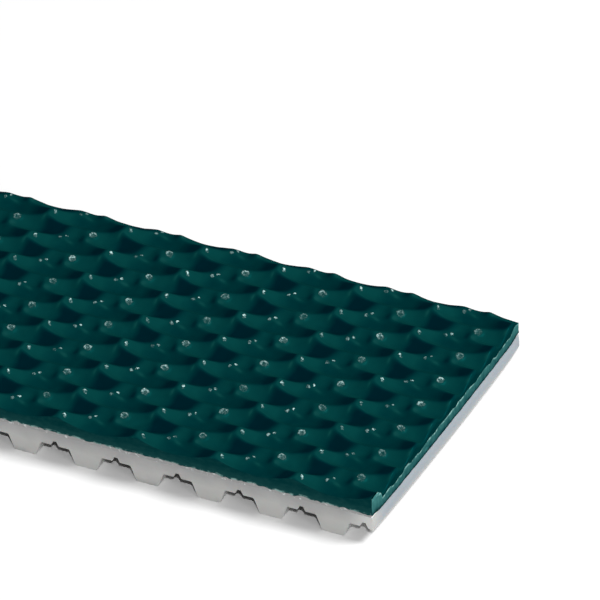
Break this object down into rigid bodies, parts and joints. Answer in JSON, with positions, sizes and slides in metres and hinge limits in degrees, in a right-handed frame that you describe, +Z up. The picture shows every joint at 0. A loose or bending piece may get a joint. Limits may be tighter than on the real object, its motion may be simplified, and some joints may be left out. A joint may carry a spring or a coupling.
{
  "type": "coated timing belt",
  "caption": "Cut length of trapezoidal-tooth timing belt with steel tension cords inside and a dark green rough grip coating bonded to its back.",
  "frame": {"origin": "middle of the belt's length and width, at the level of the tooth tips", "axes": "+X along the belt to the cut end seen in the picture, +Y across it, +Z up from the teeth to the coating"},
  "size_m": [0.1, 0.05, 0.0078],
  "materials": {
    "belt_polyurethane": "satin, knife-cut sides",
    "bond_film": "pale translucent film",
    "coating_pvc": "glossy moulded scoops and crests",
    "cord_steel": "bright drawn wire"
  },
  "bodies": {
    "root": {"belt_body": "belt_polyurethane", "bond_layer": "bond_film", "pvc_coating": "coating_pvc", "steel_cord_01": "cord_steel", "steel_cord_02": "cord_steel", "steel_cord_03": "cord_steel", "steel_cord_04": "cord_steel", "steel_cord_05": "cord_steel", "steel_cord_06": "cord_steel", "steel_cord_07": "cord_steel", "steel_cord_08": "cord_steel", "steel_cord_09": "cord_steel", "steel_cord_10": "cord_steel", "steel_cord_11": "cord_steel", "steel_cord_12": "cord_steel", "steel_cord_13": "cord_steel", "steel_cord_14": "cord_steel", "steel_cord_15": "cord_steel", "steel_cord_16": "cord_steel", "steel_cord_17": "cord_steel", "steel_cord_18": "cord_steel", "steel_cord_19": "cord_steel", "steel_cord_20": "cord_steel", "steel_cord_21": "cord_steel", "steel_cord_22": "cord_steel", "steel_cord_23": "cord_steel", "steel_cord_24": "cord_steel", "steel_cord_25": "cord_steel", "steel_cord_26": "cord_steel", "steel_cord_27": "cord_steel", "steel_cord_28": "cord_steel", "steel_cord_29": "cord_steel", "steel_cord_30": "cord_steel"}
  },
  "joints": []
}
